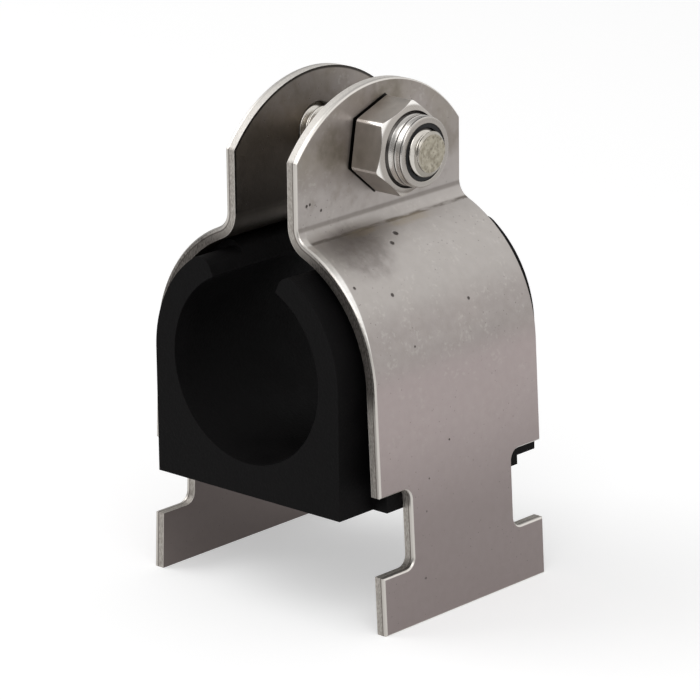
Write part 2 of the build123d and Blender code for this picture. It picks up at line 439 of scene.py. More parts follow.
class StrapColour:
    """Colours on the strap's steel. A pair also says how strongly its colour is laid over the steel."""

    LIGHT = (0.420, 0.380, 0.362)
    DARK = (0.382, 0.350, 0.338)
    BAND = ((0.320, 0.288, 0.272), 0.35)
    MOTTLE = ((0.330, 0.298, 0.280), 0.5)
    GRAIN = ((0.47, 0.43, 0.41), 0.15)
    # painted sheen: the shoulder drawn lighter where it catches the light
    SHOULDER_SHEEN = ((0.475, 0.450, 0.426), 0.6)
    # painted reflection: the leg drawn lighter and warmer
    LEG_REFLECTION = ((0.470, 0.393, 0.390), 0.6)
    FLECK = ((0.60, 0.57, 0.535), 0.3)
    # the oxide is the steel's own; where it fades out towards the bend the ear is painted lighter
    OXIDE = ((0.295, 0.262, 0.208), 0.55)
    # painted sheen on the bend
    BEND_SHEEN = ((0.52, 0.485, 0.465), 0.4)
    STAIN = ((0.22, 0.19, 0.155), 0.45)
    EAR_STAIN = ((0.175, 0.150, 0.112), 0.4)
    # painted shade on the inner face, between the ears
    INSIDE_TOP_SHADE = ((0.19, 0.158, 0.125), 0.75)
    INSIDE_SHADE = ((0.06, 0.050, 0.040), 0.8)
    # painted shade along the burr line on the inner face
    SHADED_BURR_LINE = ((0.014, 0.012, 0.010), 0.85)
    # painted shade on the foot
    FOOT_SHADE = ((0.25, 0.214, 0.207), 0.7)
    # painted reflection of the nut
    NUT_REFLECTION = ((0.150, 0.128, 0.120), 0.55)
    BEND_LINE = ((0.115, 0.098, 0.080), 0.8)
    TARNISH = ((0.42, 0.355, 0.255), 0.55)
    PIT = ((0.05, 0.042, 0.038), 0.9)
    # painted contact shade round the nut's foot
    NUT_CONTACT_SHADE = (0.012, 0.010, 0.009)
    # partly burnished steel, partly a painted highlight along the rolled edge
    BURNISH_AND_HIGHLIGHT = (0.90, 0.88, 0.85)
    TORN_LIGHT = (0.58, 0.55, 0.51)
    TORN_DARK = (0.34, 0.31, 0.28)
    SHEARED = (0.62, 0.59, 0.55)
    SHEAR_LINE = ((0.13, 0.11, 0.10), 0.7)
    SHADED_EDGE = (0.045, 0.038, 0.034)
    BURR = ((0.66, 0.63, 0.59), 0.8)
    # painted highlight on the dome's cut edge
    DOME_EDGE_HIGHLIGHT = ((0.84, 0.81, 0.77), 0.75)
    ARRIS = (0.64, 0.61, 0.57)
    SHADED_ARRIS = (0.06, 0.052, 0.047)


class StrapHeight:
    """Heights between which the strap's look changes. A third number says how softly it does."""

    # heights of the foot's painted shade
    FOOT_SHADE = (-22.0, -3.0)
    FEWER_FLECKS = (-6.0, 4.0)
    # heights of the leg's painted reflection
    LEG_REFLECTION = (-1.0, 4.0)
    STRIP_FOOT = (-1.0, 3.0)
    STRIP_TAPER = (3.0, 17.0)
    STRIP_TOP = (17.0, 18.2)
    BY_CUSHION = (0.0, 14.5, 4.0)
    # heights of the shoulder's painted sheen
    SHOULDER_SHEEN = (11.0, 17.0, 5.0)
    # heights of the bend's painted sheen
    BEND_SHEEN = (19.6, 22.5, 2.0)
    BEND_LINE = (BEND_LINE_HIGH - 0.12, BEND_LINE_HIGH + 0.12, 0.35)
    STAINS = (15.0, 22.0)
    # heights where the inner face's painted shade fades out, and where the oxide fades out downwards, which
    # paints the lower ear lighter
    INSIDE_SHADE = (18.0, 27.0)
    OXIDE = (20.0, 28.0)
    INSIDE_TOP_SHADE = (28.0, 33.5)


class StrapDepth:
    """The same for depths in the sheet, as shares of its gauge, measured from its inner face."""

    BURR = (0.03, 0.09)
    ROLL_OVER = (0.4, 0.6)
    SHEAR_LINE = (0.58, 0.64, 0.05)
    TEAR_ENDS = (0.58, 0.70)
    SHEARED = (0.62, 0.72)


class StrapRoughness:
    """Roughness of the strap's faces, of the torn and the sheared part of its edge, and of its arrises."""

    FACE = 0.40
    TORN = 0.52
    SHEARED = 0.36
    ARRIS = 0.28


class StrapSteel(Finish):
    """Cold-rolled stainless sheet: satin faces, bright rolled arrises and a torn, sheared edge."""

    def __init__(self):
        super().__init__("strap_steel", metallic=1.0)
        self.find_place_in_sheet()
        self.patches = self.noise(9.0, detail=4.0)
        self.mottle = self.noise(1.3, detail=4.0, contrast=0.6)
        self.grain = self.noise(0.18, detail=2.0, contrast=0.6)
        self.drag = self.noise(0.9, stretch=(1.0, 5.0, 1.0), shift=2.0, contrast=0.4)
        self.tear = self.noise(0.30, stretch=(0.6, 0.6, 1.6))
        self.bend_marks = self.bend_lines()
        self.pits = self.scattered_pits()
        self.burnish_and_highlight = self.burnished_highlight_strip()
        face = self.marked(self.weathered(self.clean_face()))
        # the strip along the rolled edge: partly burnished steel, partly painted highlight
        face = self.blend(self.burnish_and_highlight, StrapColour.BURNISH_AND_HIGHLIGHT, face)
        self.colour(self.blend(self.is_face, face, self.edge()))
        self.set_roughness()
        self.set_relief()

    def find_place_in_sheet(self):
        """Works out, for each point, its depth in the sheet, its distance from the sheet's edges, and
        whether it is on a face, on a cut edge or on the arris between them."""
        side = self.x.sign()
        self.is_first_side = self.y * side < 0.0
        self.out = abs(self.x)
        splay_cos, splay_sin = cos(radians(LEG_SPLAY)), sin(radians(LEG_SPLAY))
        above = self.z - ARC_CENTRE
        arc_reach = length_of(self.out, above)
        bend_out = self.out - BEND_X
        bend_up = self.z - BEND_Z
        bend_reach = length_of(bend_out, bend_up)
        leg_reach = self.out * splay_cos + above * splay_sin
        self.is_ear = self.z > BEND_Z
        self.is_bend = self.out < above * (BEND_X / (BEND_Z - ARC_CENTRE))
        is_leg = above < self.out * (splay_sin / splay_cos)

        def by_stretch(ear, bend, arc, leg):
            """The value for the stretch of the strap that the point is on."""
            return choose(self.is_ear, ear, choose(self.is_bend, bend, choose(is_leg, leg, arc)))

        depth = by_stretch(self.out - strap_low.x, BEND_RADIUS + GAUGE - bend_reach,
                           arc_reach - ARC_INNER_RADIUS, leg_reach - ARC_INNER_RADIUS)
        self.depth = depth / GAUGE
        self.is_outside = self.depth > 0.5
        self.is_inside = 1.0 - self.is_outside
        sheet_x = by_stretch(1.0, bend_out / bend_reach, self.out / arc_reach, splay_cos)
        sheet_z = by_stretch(0.0, bend_up / bend_reach, above / arc_reach, splay_sin)
        facing = abs(self.facing_x * side * sheet_x + self.facing_z * sheet_z)
        self.is_face = facing.ramp(0.90, 0.97)
        self.is_cut = facing.fade(0.3, 0.4)
        dome_radius = (HALF_WIDTH**2 + EAR_CROWN**2) / (2 * EAR_CROWN)
        dome_centre = strap_high.z - dome_radius
        self.side_edge = HALF_WIDTH - abs(self.y)
        self.dome_edge = dome_radius - length_of(self.y, self.z - dome_centre)
        self.by_cushion = self.z.within(*StrapHeight.BY_CUSHION)

    def bend_lines(self):
        """The lines that the bending tool left, above and below the bend. The upper one is fainter."""
        high = self.z.within(*StrapHeight.BEND_LINE) * self.is_bend * 0.55
        low = self.out.within(BEND_LINE_LOW - 0.08, BEND_LINE_LOW + 0.08, 0.3)
        low = low * self.drag.ramp(0.1, 0.7, 0.25, 1.0)
        return high.most(low) * self.is_outside

    def scattered_pits(self):
        """The pits that stand out, and finer and fainter ones in clusters."""
        pits = self.spots(3.4, 0.06, 3.7) * self.noise(6.0, detail=1.0, shift=9.0, contrast=0.2)
        for *pit, radius in STRAP_PITS:
            pits = pits.most(self.near(pit, radius))
        fine = self.spots(0.8, 0.14, 5.1) * self.noise(4.0, shift=14.0, contrast=0.2)
        return pits.most(fine * 0.45)

    def burnished_highlight_strip(self):
        """The bright strip along one side edge, which narrows down from the bend: partly burnished steel and
        partly a painted highlight.
        """
        width = self.z.ramp(*StrapHeight.STRIP_TAPER, *HIGHLIGHT_STRIP_WIDTHS)
        strip = (self.side_edge / width).fade(0.7, 1.0)
        strip = strip * self.z.ramp(*StrapHeight.STRIP_FOOT) * self.z.fade(*StrapHeight.STRIP_TOP)
        strip = strip * self.is_outside * (0.75 + self.drag * 0.25)
        return strip * self.is_first_side

    def clean_face(self):
        """The sheet as rolled: bands, mottle and grain, a painted sheen on the shoulder and a warm painted
        reflection down the leg, with pale flecks in clusters."""
        bands = self.noise(3.5, detail=2.0, stretch=(1.0, 7.0, 1.0), shift=8.0)
        face = self.blend(self.patches, StrapColour.LIGHT, StrapColour.DARK)
        face = self.lay(StrapColour.BAND, bands, face)
        face = self.lay(StrapColour.MOTTLE, self.mottle, face)
        face = self.lay(StrapColour.GRAIN, self.grain, face)
        # painted sheen on the shoulder and painted reflection down the leg
        face = self.lay(StrapColour.SHOULDER_SHEEN, self.z.within(*StrapHeight.SHOULDER_SHEEN), face)
        face = self.lay(StrapColour.LEG_REFLECTION, self.z.fade(*StrapHeight.LEG_REFLECTION), face)
        clusters = self.noise(2.8, detail=2.0, shift=17.0, contrast=0.25).ramp(0.5, 1.0)
        flecks = self.noise(0.55, detail=4.0, shift=7.0).ramp(0.55, 1.0)
        flecks = flecks * clusters * self.z.ramp(*StrapHeight.FEWER_FLECKS, 0.4, 1.0)
        return self.lay(StrapColour.FLECK, flecks, face)

    def weathered(self, face):
        """Oxide and stains on the ear, the oxide fading out towards the bend so that the lower ear is
        painted lighter, a painted sheen on the bend, painted shade on the inner face and along its burr
        line, and painted shade on the foot."""
        # the oxide is real; its fade out downwards paints the lower ear lighter
        oxide = self.noise(5.0, shift=6.0, contrast=0.6) * self.z.ramp(*StrapHeight.OXIDE)
        face = self.lay(StrapColour.OXIDE, oxide, face)
        # painted sheen on the bend
        face = self.lay(StrapColour.BEND_SHEEN, self.z.within(*StrapHeight.BEND_SHEEN), face)
        stains = self.noise(2.4, detail=5.0, shift=11.0, contrast=0.8).ramp(0.45, 1.0)
        face = self.lay(StrapColour.STAIN, stains * self.z.ramp(*StrapHeight.STAINS), face)
        for *stain, radius in EAR_STAINS:
            face = self.lay(StrapColour.EAR_STAIN, self.near(stain, radius) * (0.5 + self.mottle), face)
        # painted shade on the inner face and along its burr line
        top_inside_shade = self.is_inside * self.z.fade(*StrapHeight.INSIDE_TOP_SHADE)
        face = self.lay(StrapColour.INSIDE_TOP_SHADE, top_inside_shade, face)
        face = self.lay(StrapColour.INSIDE_SHADE, self.is_inside * self.z.fade(*StrapHeight.INSIDE_SHADE), face)
        shaded_burr_line = self.side_edge.least(self.dome_edge).fade(0.25, 0.45)
        face = self.lay(StrapColour.SHADED_BURR_LINE, shaded_burr_line * self.is_ear * self.is_inside, face)
        # painted shade on the foot
        return self.lay(StrapColour.FOOT_SHADE, self.z.fade(*StrapHeight.FOOT_SHADE), face)

    def marked(self, face):
        """A painted dark reflection of the nut, the bending tool's lines with their tarnish, the pits, and
        painted contact shade round the nut.
        """
        # painted dark reflection of the nut
        nut_reflection = self.near(NUT_REFLECTION_PLACE, NUT_REFLECTION_RADIUS) * (0.35 + self.mottle * 0.65)
        face = self.lay(StrapColour.NUT_REFLECTION, nut_reflection, face)
        face = self.lay(StrapColour.BEND_LINE, self.bend_marks, face)
        tarnish = self.out.within(BEND_LINE_LOW + 0.2, BEND_LINE_LOW + 1.0, 0.6)
        tarnish = tarnish * self.y.within(-5.0, 4.0, 5.0) * self.is_outside * self.drag
        face = self.lay(StrapColour.TARNISH, tarnish, face)
        face = self.lay(StrapColour.PIT, self.pits, face)
        # painted contact shade on the ear round the nut's foot
        contact_shade = hex_reach(self, NUT_TURN).fade(HEX_FLAT_RADIUS + 0.02, HEX_FLAT_RADIUS + 0.16)
        return self.blend(contact_shade * self.is_outside * (self.x > 0.0), StrapColour.NUT_CONTACT_SHADE, face)

    def edge(self):
        """The cut edge and its arrises. The cut is torn on one half of the gauge and sheared bright on
        the other, has a painted highlight all over on the dome, and is dark beside the cushion."""
        ear_corner = strap_high.z - EAR_CROWN
        cut = self.blend(self.tear, StrapColour.TORN_LIGHT, StrapColour.TORN_DARK)
        cut = self.blend(self.depth.ramp(*StrapDepth.SHEARED), StrapColour.SHEARED, cut)
        cut = self.lay(StrapColour.SHEAR_LINE, self.depth.within(*StrapDepth.SHEAR_LINE), cut)
        cut = self.blend(self.by_cushion * (0.6 + self.tear * 0.35), StrapColour.SHADED_EDGE, cut)
        burr = self.depth.fade(*StrapDepth.BURR) * (1.0 - self.by_cushion)
        cut = self.lay(StrapColour.BURR, burr, cut)
        # painted highlight all along the dome's cut edge
        cut = self.lay(StrapColour.DOME_EDGE_HIGHLIGHT, self.z.ramp(ear_corner, ear_corner + 0.4), cut)
        arris = self.blend(self.by_cushion * self.is_inside, StrapColour.SHADED_ARRIS, StrapColour.ARRIS)
        return self.blend(self.is_cut, cut, arris)

    def set_roughness(self):
        """Satin faces, smoother where they are burnished, a rough tear and smooth arrises."""
        face = StrapRoughness.FACE + self.patches * 0.06 + self.mottle * 0.07
        face = face + self.bend_marks * 0.15 - self.burnish_and_highlight * 0.15
        cut = self.depth.ramp(*StrapDepth.TEAR_ENDS, StrapRoughness.TORN, StrapRoughness.SHEARED)
        cut = cut + self.tear * 0.08
        self.roughness(choose(self.is_face, face, choose(self.is_cut, cut, StrapRoughness.ARRIS)))

    def set_relief(self):
        """Rolling marks along the sheet's width, pits, the bend lines and the torn edge."""
        drawn = self.noise(0.12, detail=2.0, stretch=(1.0, 40.0, 1.0))
        face = self.mottle * 0.5 + drawn * 0.12 + self.grain * 0.12 - self.pits * 3.0 - self.bend_marks * 0.8
        cut = self.tear * self.depth.ramp(*StrapDepth.TEAR_ENDS, 1.6, 0.2)
        edge_round = self.depth.ramp(*StrapDepth.ROLL_OVER, 0.1, 0.2)
        self.relief(choose(self.is_face, face, cut), RELIEF_DEPTH, edge=edge_round)


def elastomer():
    """Near-black moulded elastomer: matte, faintly uneven, a little greyer where it is rubbed."""
    finish = Finish("elastomer", specular=RUBBER_SPECULAR)
    bloom = finish.noise(6.0, detail=4.0)
    grain = finish.noise(0.35)
    base = finish.blend(bloom, RUBBER_GREY, RUBBER_BLACK)
    dust = finish.spots(1.4, 0.05, 1.3) * finish.noise(3.0, detail=1.0, shift=4.0, contrast=0.2)
    finish.colour(finish.lay(RUBBER_DUST, dust, base))
    finish.roughness(RUBBER_ROUGHNESS + bloom * 0.12 + grain * 0.06)
    finish.relief(grain + bloom * 0.6, RELIEF_DEPTH)
    return finish.material


def times(colour, factor):
    """A colour at a multiple of its brightness."""
    return tuple(factor * part for part in colour)


def turning_marks(finish, reach):
    """Noise in rings round the bolt's axis, as a turning tool leaves them."""
    node = finish.tree.nodes.new("ShaderNodeTexNoise")
    node.noise_dimensions = "1D"
    node.inputs["Scale"].default_value = TURNING_RINGS
    node.inputs["Detail"].default_value = 1.0
    finish.tree.links.new((reach + finish.x).socket, node.inputs["W"])
    return Field(finish.tree, node.outputs["Fac"])


def fastener_steel(name, turn, bright, dull, face_x, crevices, tip_x=None):
    """Turned steel with dull rolled flats, and corners that show wear and a painted glint. turn is its
    hexagon's. Faces past face_x that face along the axis carry painted shade. Crevices carry painted
    shade: each is (lowest x, highest x, lowest radius, highest radius). Past tip_x it has the coarse face
    of a cropped end."""
    finish = Finish(name, metallic=1.0)
    reach = length_of(finish.y, finish.z - bolt_z)
    tooling = turning_marks(finish, reach)
    cloud = finish.noise(1.6, detail=4.0)
    grain = finish.noise(0.14)
    is_flat = hex_reach(finish, turn).ramp(HEX_FLAT_RADIUS - 0.06, HEX_FLAT_RADIUS - 0.01)
    is_flat = is_flat * abs(finish.facing_x).fade(0.2, 0.4)
    # corners with wear and a painted glint
    worn_and_glint = reach.ramp(HEX_FLAT_RADIUS + 0.05, HEX_FLAT_RADIUS + 0.4)
    rolled = finish.blend(cloud, dull, times(dull, CLOUDED))
    rolled = finish.blend(grain * 0.25, times(dull, GRAINED), rolled)
    colour = finish.blend(cloud * 0.35 + tooling.ramp(0.40, 0.60) * 0.15, dull, bright)
    # painted shade on faces past face_x that face along the axis
    shaded_end_faces = abs(finish.facing_x).ramp(0.5, 0.7) * (finish.x > face_x)
    colour = finish.blend(shaded_end_faces * 0.85, times(dull, END_FACE_SHADE), colour)
    colour = finish.blend(worn_and_glint, times(bright, WEAR_AND_GLINT), colour)
    colour = finish.blend(is_flat, rolled, colour)
    rough = choose(is_flat, FLAT_ROUGHNESS, TURNED_ROUGHNESS) + cloud * 0.06 + grain * 0.04
    height = choose(is_flat, grain * 0.5 + cloud * 0.8, grain * 0.2 + tooling * 0.3)
    # painted shade in the crevices
    for low, high, inside, outside in crevices:
        crevice_shade = finish.x.within(low, high, 0.04) * reach.within(inside, outside, 0.04)
        colour = finish.lay(CREVICE_SHADE, crevice_shade, colour)
    if tip_x is not None:
        is_tip = (finish.x > tip_x) * abs(finish.facing_x).ramp(0.85, 0.95)
        speckle = finish.noise(0.8)
        pores = finish.noise(0.45, detail=2.0, shift=5.0, contrast=0.4).ramp(0.70, 1.0)
        cropped = finish.blend(speckle, CROPPED_LIGHT, CROPPED_DARK)
        cropped = finish.lay(CROPPED_PORE, pores, cropped)
        colour = finish.blend(is_tip, cropped, colour)
        rough = choose(is_tip, CROPPED_ROUGHNESS, rough)
        height = choose(is_tip, speckle * 1.2 - pores * 0.6, height)
    finish.colour(colour)
    finish.roughness(rough)
    finish.relief(height, RELIEF_DEPTH)
    return finish.material


def nylon():
    """The insert's dark plastic."""
    finish = Finish("nylon", specular=NYLON_SPECULAR)
    cloud = finish.noise(0.8)
    finish.colour(finish.blend(cloud, NYLON_GREY, NYLON_BLACK))
    finish.roughness(NYLON_ROUGHNESS + cloud * 0.12)
    finish.relief(cloud, RELIEF_DEPTH / 2)
    return finish.material


# Meshes


def rounded(corners):
    """A closed profile of ((along, out), radius) corners, each one rounded unless its radius is 0."""
    points = [Vector(point) for point, _ in corners]
    result = []
    for index, (_, radius) in enumerate(corners):
        corner = points[index]
        if not radius:
            result.append(corner)
            continue
        before = (points[index - 1] - corner).normalized()
        after = (points[(index + 1) % len(points)] - corner).normalized()
        half = before.angle(after) / 2
        centre = corner + (before + after).normalized() * (radius / sin(half))
        start = (corner + before * (radius / tan(half)) - centre).normalized()
        end = (corner + after * (radius / tan(half)) - centre).normalized()
        turns = [step / ROUNDING_STEPS for step in range(ROUNDING_STEPS + 1)]
        result += [centre + radius * start.slerp(end, turn) for turn in turns]
    return result


def hex_angles():
    """Directions round a hexagon, from the middle of a flat: close together at its rounded corners."""
    flat_half = CORNER_ROUND_REACH * sin(radians(30))
    across = [flat_half * (2 * step / FLAT_STEPS - 1) for step in range(FLAT_STEPS + 1)]
    flat = [atan(place_across / HEX_FLAT_RADIUS) for place_across in across]
    corner_start = flat[-1]
    corner_turn = radians(60) - 2 * corner_start
    corner = [corner_start + corner_turn * step / CORNER_STEPS for step in range(1, CORNER_STEPS)]
    return [radians(60) * side + angle for side in range(6) for angle in flat + corner]


def hex_radius(angle):
    """How far the side of the rounded hexagon lies from its axis, in a direction."""
    off = abs((angle + radians(30)) % radians(60) - radians(30))
    if HEX_FLAT_RADIUS * tan(off) <= CORNER_ROUND_REACH * sin(radians(30)) + SLACK:
        return HEX_FLAT_RADIUS / cos(off)
    past = radians(30) - off
    return CORNER_ROUND_REACH * cos(past) + sqrt(HEX_CORNER_ROUND**2 - (CORNER_ROUND_REACH * sin(past))**2)


def chamfer_drop(angle, face_radius):
    """How far the hexagon's chamfer comes down from the circle on its face, in a direction."""
    return (hex_radius(angle) - face_radius) * tan(radians(HEX_CHAMFER))


def turned(bm, profile_at, foot, turn):
    """Adds a closed surface round the bolt's axis, with its foot at an x and its hexagon turned by so
    many degrees. profile_at gives its (along, out) points at an angle from the middle of a flat."""
    rings = []
    middle = Vector((foot, 0, bolt_z))
    for angle in hex_angles():
        across = Vector((0, cos(angle + radians(turn)), sin(angle + radians(turn))))
        points = [middle + Vector((along, 0, 0)) + across * out for along, out in profile_at(angle)]
        rings.append([bm.verts.new(point * MM) for point in points])
    for here, there in zip(rings, rings[1:] + rings[:1]):
        for index in range(len(here)):
            bm.faces.new((here[index - 1], here[index], there[index], there[index - 1]))


def piece_from(bm, name, material, replaced, merge=MERGE):
    """Merges a mesh's like points, turns it into a piece on the root body, and hides the node it takes the
    place of.
    """
    bmesh.ops.remove_doubles(bm, verts=bm.verts, dist=merge)
    bmesh.ops.dissolve_degenerate(bm, edges=bm.edges, dist=merge)
    bmesh.ops.recalc_face_normals(bm, faces=bm.faces)
    mesh = bpy.data.meshes.new(name)
    bm.to_mesh(mesh)
    bm.free()
    mesh.materials.append(material)
    mesh.shade_smooth()
    piece = bpy.data.objects.new(name, mesh)
    bpy.context.scene.collection.objects.link(piece)
    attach(piece, "root")
    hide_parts(replaced)
    return piece


def even_normals(piece):
    """Lets large flat faces keep their shading beside narrow rounded edges."""
    piece.modifiers.new("even_normals", "WEIGHTED_NORMAL").weight = 80


def ring_groove(height, out, depth):
    """The three corners of a fine groove round the collar."""
    return [((height - depth, out), 0.02), ((height, out - depth), 0), ((height + depth, out), 0.02)]


def nut_profile(angle):
    """Washer face, hexagon, the groove at the collar's foot, the rolled collar, pocket and bore."""
    reach = hex_radius(angle)
    bore = THREAD_RADIUS + THREAD_CLEARANCE
    hex_top = NUT_HEX_HEIGHT
    groove_out = COLLAR_RADIUS + GROOVE_WIDTH
    groove_top = hex_top - GROOVE_WIDTH * tan(radians(HEX_CHAMFER))
    rolled_out = COLLAR_RADIUS - ROLL_STEP
    corners = [
        ((0, bore + THREAD_ENTRY), 0),
        ((0, WASHER_FACE_RADIUS), 0.05),
        ((WASHER_FACE_HEIGHT, WASHER_FACE_RADIUS), 0),
        ((WASHER_FACE_HEIGHT, reach), EDGE_ROUND),
        ((hex_top - chamfer_drop(angle, COLLAR_RADIUS), reach), EDGE_ROUND),
        ((groove_top, groove_out), 0.04),
        ((groove_top - GROOVE_DEPTH, groove_out - GROOVE_WIDTH / 2), 0),
        ((groove_top - GROOVE_DEPTH, COLLAR_RADIUS), 0),
        *ring_groove(hex_top + ROLL_LINE_HEIGHT, COLLAR_RADIUS, ROLL_LINE_DEPTH),
        ((hex_top + ROLL_LINE_HEIGHT + 2 * ROLL_LINE_DEPTH, rolled_out), 0.03),
        *ring_groove(nut_height - COLLAR_SHOULDER - ROLL_LINE_DEPTH / 2, rolled_out, ROLL_LINE_DEPTH / 2),
        ((nut_height, rolled_out), COLLAR_SHOULDER - 0.02),
        ((nut_height, RIM_RADIUS), EDGE_ROUND),
        ((nut_height - COLLAR_WALL, RIM_RADIUS), 0),
        ((nut_height - COLLAR_WALL, POCKET_RADIUS), 0),
        ((hex_top - POCKET_DEPTH, POCKET_RADIUS), 0),
        ((hex_top - POCKET_DEPTH, bore), 0),
        ((THREAD_ENTRY, bore), 0),
    ]
    return rounded(corners)


def head_profile(angle):
    """Bolt head, from the middle of its face round to the middle of its washer face."""
    reach = hex_radius(angle)
    corners = [
        ((-HEAD_HEIGHT, 0), 0),
        ((-HEAD_HEIGHT, HEAD_FACE_RADIUS), EDGE_ROUND),
        ((chamfer_drop(angle, HEAD_FACE_RADIUS) - HEAD_HEIGHT, reach), EDGE_ROUND),
        ((-WASHER_FACE_HEIGHT, reach), EDGE_ROUND),
        ((-WASHER_FACE_HEIGHT, WASHER_FACE_RADIUS), 0),
        ((0, WASHER_FACE_RADIUS), 0.06),
        ((0, 0), 0),
    ]
    return rounded(corners)


def thread_radius(turns):
    """The thread's radius at a place along it, counted in turns: flat root, flank, crest, flank."""
    phase = turns - floor(turns)
    rise = min(max((abs(phase - 0.5) - THREAD_CREST_HALF) / THREAD_FLANK, 0), 1)
    return THREAD_RADIUS - THREAD_DEPTH * rise


def lies_at(part, along):
    """Whether all of an edge or a face lies at one place along the bolt's axis."""
    return all(abs(vert.co.x - along * MM) < MERGE for vert in part.verts)


def add_side(bm, corners, start, end):
    """Adds a face of the thread, unless it lies flat at the start or at the end."""
    level = {round(corner.co.x, 9) for corner in corners}
    if level not in ({round(start * MM, 9)}, {round(end * MM, 9)}):
        bm.faces.new(corners)


def threaded_stem(bm, start, end):
    """Adds the bolt's thread, from start to end along its axis: open at the start, closed at its
    chamfered tip."""
    turns = ceil((end - start) / THREAD_PITCH) + 1
    grid = []
    for row in range(turns * THREAD_ROWS + 1):
        ring = []
        for column in range(THREAD_COLUMNS):
            turn = column / THREAD_COLUMNS
            along = start + THREAD_PITCH * (row / THREAD_ROWS - 1 + turn)
            along = min(max(along, start), end)
            out = thread_radius((along - start) / THREAD_PITCH - turn)
            out = min(out, THREAD_RADIUS - TIP_CHAMFER + end - along)
            angle = 2 * pi * turn
            ring.append(bm.verts.new(place((along, out * cos(angle), bolt_z + out * sin(angle)))))
        grid.append(ring)
    for here, above in zip(grid, grid[1:]):
        for column in range(THREAD_COLUMNS - 1):
            add_side(bm, (here[column], here[column + 1], above[column + 1], above[column]), start, end)
    for row in range(len(grid) - THREAD_ROWS - 1):
        later = row + THREAD_ROWS
        add_side(bm, (grid[row][-1], grid[later][0], grid[later + 1][0], grid[row + 1][-1]), start, end)
    bmesh.ops.remove_doubles(bm, verts=bm.verts, dist=MERGE)
    open_edges = [edge for edge in bm.edges if edge.is_boundary]
    bmesh.ops.holes_fill(bm, edges=[edge for edge in open_edges if lies_at(edge, end)])


def arc(centre, radius, start, end, steps):
    """Points on an arc from one angle to another, in radians, both ends among them."""
    turns = [start + (end - start) * step / steps for step in range(steps + 1)]
    return [centre + radius * Vector((cos(turn), sin(turn))) for turn in turns]


def split_outline(radius, drop, splay):
    """The cushion's section: legs, round outside, rounded tips at the split, and the bore, as points."""
    half_split = radians(SPLIT_ANGLE / 2)
    middle = Vector((0, drop))
    side = middle + radius * Vector((cos(radians(splay)), sin(radians(splay))))
    side_foot = Vector((side.x + (side.y - cushion_foot) * tan(radians(splay)), cushion_foot))
    along_split = Vector((sin(half_split), cos(half_split)))
    into_wall = Vector((cos(half_split), -sin(half_split)))
    offset = into_wall * TIP_RADIUS - middle
    step_out = -along_split.dot(offset)
    reach = step_out + sqrt(step_out**2 - offset.dot(offset) + (radius - TIP_RADIUS)**2)
    tip_centre = along_split * reach + into_wall * TIP_RADIUS
    tip_start = atan2(tip_centre.y - middle.y, tip_centre.x)
    tip_end = pi - half_split
    outside = arc(middle, radius, radians(splay), tip_start, OUTSIDE_STEPS)
    tip = arc(tip_centre, TIP_RADIUS, tip_start, tip_end, TIP_STEPS)
    bore = arc(Vector((0, 0)), TUBE_RADIUS, pi / 2 - half_split, -pi / 2, BORE_STEPS)
    right = [side_foot, *outside, *tip[1:], *bore]
    left = [Vector((-point.x, point.y)) for point in reversed(right[:-1])]
    return [*right, *left]


# The object


def dress(name, material):
    """Gives a finish to a solid that keeps its shape."""
    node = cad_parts[name]
    node.data.materials[0] = material


def cushion_piece():
    """The moulded cushion: section drawn along the tube, with the raised band and rounded edges."""
    bm = bmesh.new()
    ends = split_outline(END_RADIUS, 0.0, 0.0)
    band = split_outline(BAND_RADIUS, ARC_CENTRE, LEG_SPLAY)
    stations = [(-cushion_half_length, ends), (-BAND_HALF_LENGTH, ends), (-BAND_HALF_LENGTH, band),
                (BAND_HALF_LENGTH, band), (BAND_HALF_LENGTH, ends), (cushion_half_length, ends)]
    rings = [[bm.verts.new(place((x, y, z))) for x, z in outline] for y, outline in stations]
    for here, there in zip(rings, rings[1:]):
        for index in range(len(here)):
            bm.faces.new((here[index - 1], here[index], there[index], there[index - 1]))
    bm.faces.new(rings[0])
    bm.faces.new(rings[-1])
    cushion = piece_from(bm, "cushion_moulding", elastomer(), "cushion", MOULD_MERGE)
    rounding = cushion.modifiers.new("rounding", "BEVEL")
    rounding.width = MOULD_EDGE * MM
    rounding.segments = MOULD_EDGE_STEPS
    rounding.limit_method = "ANGLE"
    rounding.angle_limit = radians(35)
    even_normals(cushion)


def nut_crevices():
    """Where the nut gets painted shade: round its foot, at the collar's foot and lines, and inside the rim.
    """
    foot, top = nut_low.x, nut_high.x
    hex_top = foot + NUT_HEX_HEIGHT
    roll_line = hex_top + ROLL_LINE_HEIGHT
    shoulder = top - COLLAR_SHOULDER
    return (
        (foot, foot + WASHER_FACE_HEIGHT, WASHER_FACE_RADIUS - 0.1, WASHER_FACE_RADIUS + 0.1),
        (hex_top - 2 * GROOVE_DEPTH, hex_top - 0.05, COLLAR_RADIUS - 0.1, COLLAR_RADIUS + GROOVE_WIDTH),
        (roll_line - 0.07, roll_line + 0.07, COLLAR_RADIUS - ROLL_LINE_DEPTH - 0.05, COLLAR_RADIUS),
        (shoulder - 0.12, shoulder - 0.02, RIM_RADIUS, COLLAR_RADIUS),
        (top - 2 * COLLAR_WALL, top - 0.12, RIM_RADIUS - 0.2, RIM_RADIUS + 0.3),
    )


def lock_nut_piece():
    """The lock nut, with its rolled collar open at the top for the insert."""
    bm = bmesh.new()
    turned(bm, nut_profile, nut_low.x, NUT_TURN)
    # end faces past here get painted shade
    shade_above = nut_low.x + NUT_HEX_HEIGHT - 2.0
    steel = fastener_steel("nut_steel", NUT_TURN, NUT_BRIGHT, NUT_DULL, shade_above, nut_crevices())
    even_normals(piece_from(bm, "collared_nut", steel, "lock_nut"))


